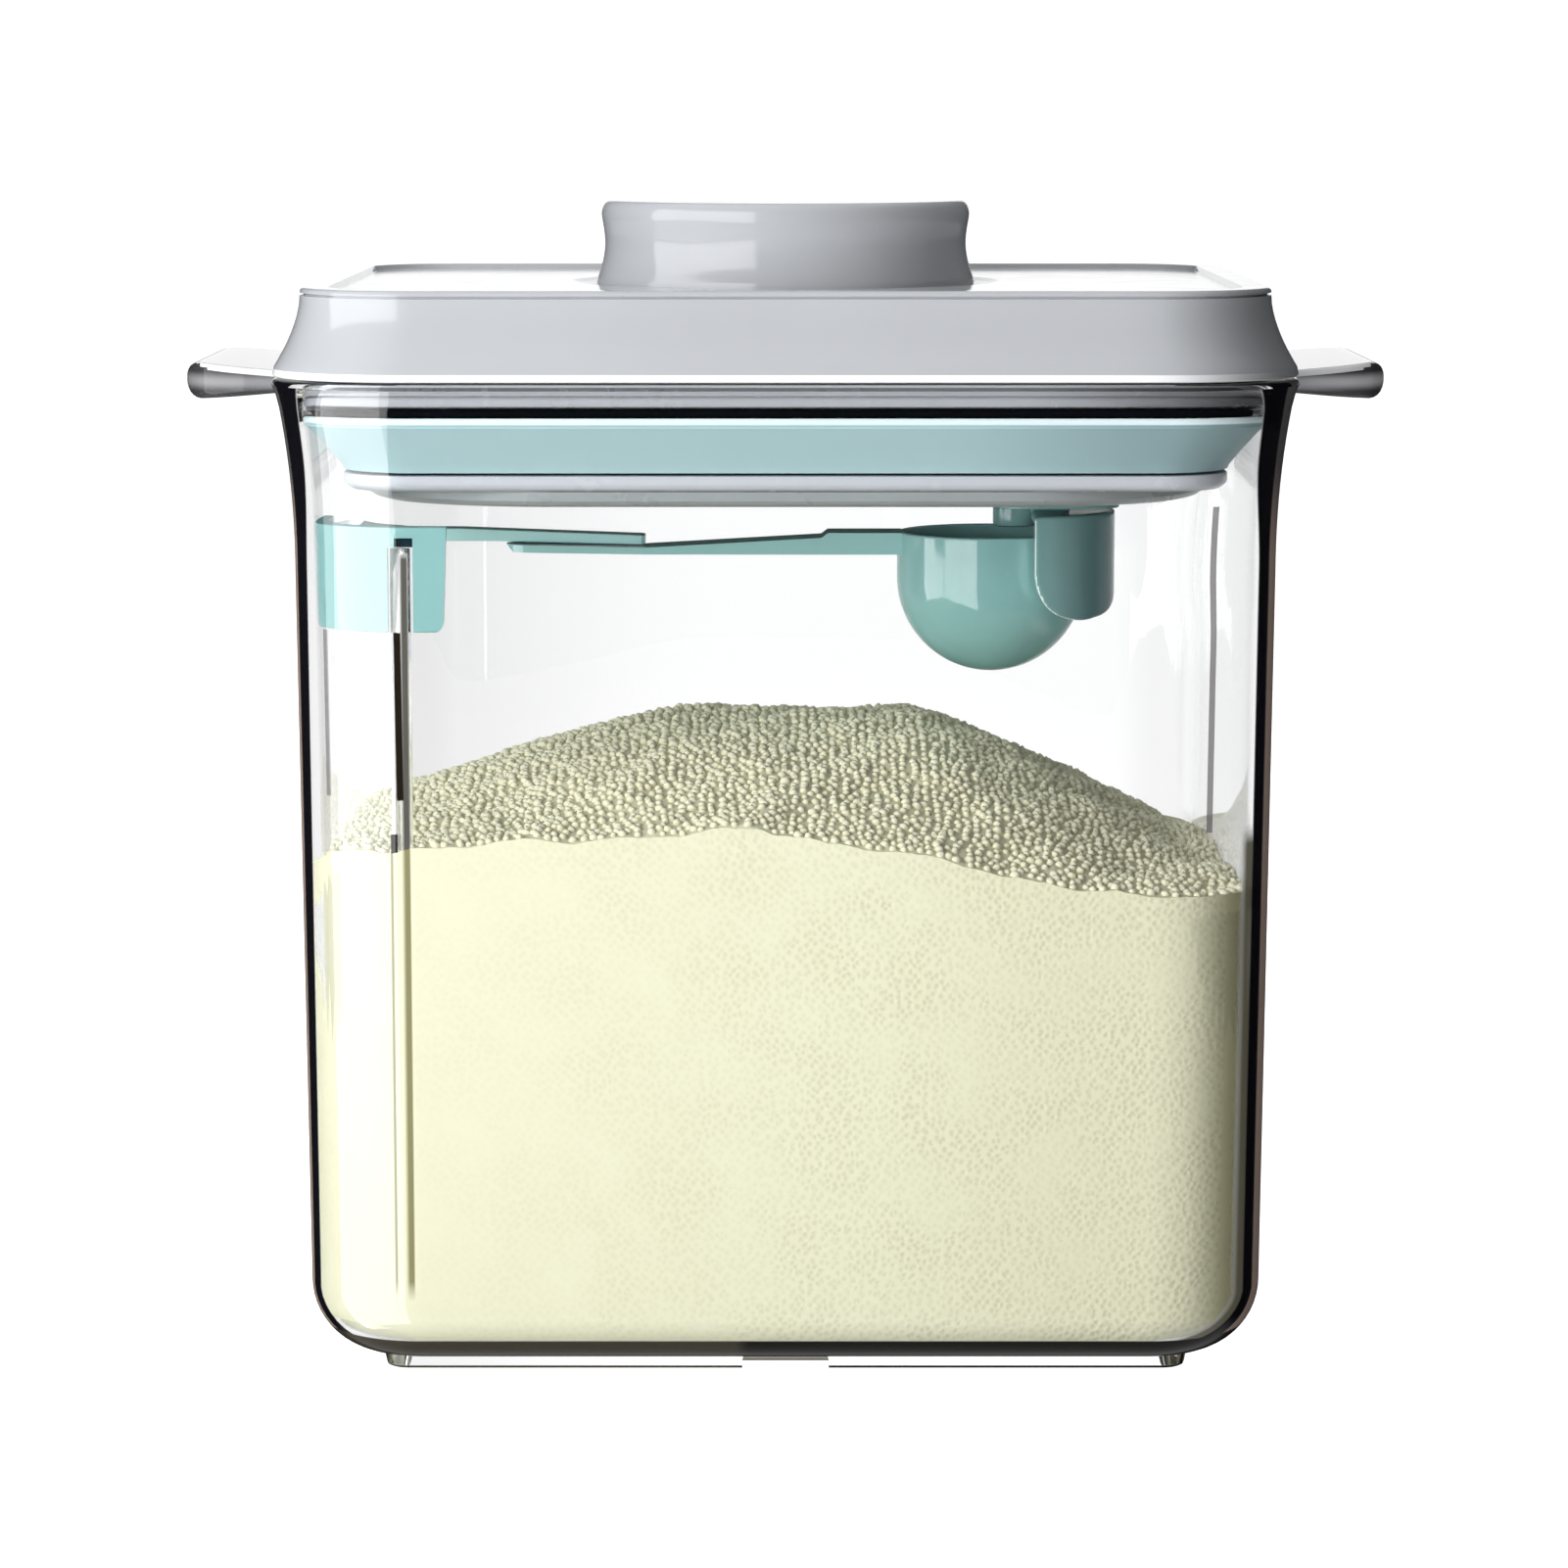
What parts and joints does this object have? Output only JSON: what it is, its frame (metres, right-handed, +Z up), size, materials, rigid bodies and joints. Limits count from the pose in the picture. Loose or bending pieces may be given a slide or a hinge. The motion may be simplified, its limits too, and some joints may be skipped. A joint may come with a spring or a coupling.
{
  "type": "milk powder container",
  "caption": "Clear rectangular milk powder container with side grips, an airtight push-button lid with a teal seal, a scoop under the lid, a leveller and a heap of powder.",
  "frame": {"origin": "middle of the footprint, at the height of the surface that the container stands on", "axes": "+X towards the right grip, +Y towards the back, +Z up; the picture looks along +Y"},
  "size_m": [0.1824, 0.1222, 0.1738],
  "materials": {
    "clear_plastic": "clear and polished",
    "powder": "fine cream powder in soft clumps",
    "grey_gloss": "cool light grey, polished",
    "grey_inner": "cool light grey, satin",
    "black_inner": "near black",
    "silicone": "soft pale teal silicone",
    "teal_plastic": "pale teal, polished"
  },
  "bodies": {
    "container": {"jar": "clear_plastic", "milk_powder": "powder", "leveller": "teal_plastic", "lid_cover": "grey_gloss", "lid_collar": "grey_inner", "lid_neck": "black_inner", "gasket": "silicone", "lid_base": "grey_inner", "lid_plate": "grey_inner", "scoop_holder": "teal_plastic", "scoop": "teal_plastic"},
    "button": {"button": "grey_gloss"}
  },
  "joints": [
    {"name": "button_press", "type": "slide", "parent": "container", "child": "button", "axis": [0, 0, 1], "range_m": [-0.0115, 0], "stiffness_N_per_m": 200, "springref_m": 0.01}
  ]
}
